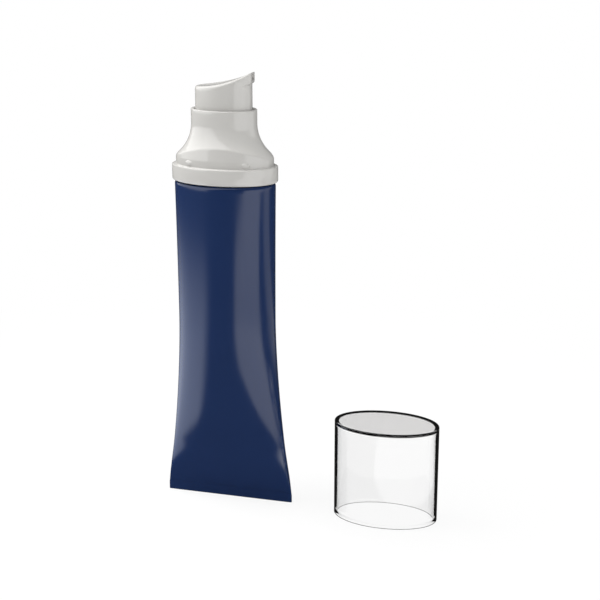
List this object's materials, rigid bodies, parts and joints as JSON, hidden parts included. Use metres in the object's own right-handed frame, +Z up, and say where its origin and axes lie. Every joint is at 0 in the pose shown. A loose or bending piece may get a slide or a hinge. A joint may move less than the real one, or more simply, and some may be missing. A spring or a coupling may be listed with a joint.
{
  "type": "airless pump tube",
  "caption": "Flattened squeeze tube with crimped foot, oval bell-shaped pump head, beaked press button, full pump inside and a clear oval overcap standing beside it.",
  "frame": {"origin": "middle of the crimp's lower edge, on the surface that the tube stands on", "axes": "+Z up along the tube, +X along the crimp towards the nozzle and the standing overcap, +Y to the back"},
  "size_m": [0.1173, 0.0278, 0.1813],
  "materials": {
    "navy_laminate": "glossy printed laminate",
    "head_polyethylene": "natural polyethylene",
    "collar_polypropylene": "satin off-white",
    "closure_polypropylene": "satin",
    "gasket_elastomer": "matt",
    "housing_polypropylene": "natural",
    "cage_polypropylene": "natural",
    "guide_acetal": "satin",
    "ball_steel": "polished",
    "stem_acetal": "satin",
    "rod_acetal": "satin",
    "piston_polyethylene": "satin",
    "spring_steel": "drawn wire",
    "button_polypropylene": "satin off-white",
    "cap_clear": "clear polished"
  },
  "bodies": {
    "tube": {"tube_sleeve": "navy_laminate", "tube_head": "head_polyethylene", "pump_collar": "collar_polypropylene", "snap_closure": "closure_polypropylene", "neck_gasket": "gasket_elastomer", "pump_housing": "housing_polypropylene", "ball_cage": "cage_polypropylene", "stem_guide": "guide_acetal", "return_spring": "spring_steel"},
    "button": {"actuator": "button_polypropylene", "stem": "stem_acetal", "valve_rod": "rod_acetal"},
    "piston": {"piston": "piston_polyethylene"},
    "inlet_ball": {"inlet_ball": "ball_steel"},
    "overcap": {"overcap": "cap_clear"}
  },
  "joints": [
    {"name": "pump_stroke", "type": "slide", "parent": "tube", "child": "button", "axis": [0, 0, -1], "range_m": [0, 0.0045], "stiffness_N_per_m": 900, "springref_m": -0.004, "deforming": ["return_spring"]},
    {"name": "piston_follow", "type": "slide", "parent": "tube", "child": "piston", "axis": [0, 0, -1], "range_m": [0, 0.0039]},
    {"name": "inlet_ball_lift", "type": "slide", "parent": "tube", "child": "inlet_ball", "axis": [0, 0, 1], "range_m": [0, 0.001]},
    {"name": "cap_lift", "type": "slide", "parent": "tube", "child": "overcap", "axis": [0, 0, 1], "range_m": [0, 0.05]}
  ],
  "couplings": [
    {"joint": "piston_follow", "follows": "pump_stroke", "ratio": 0.8666}
  ]
}
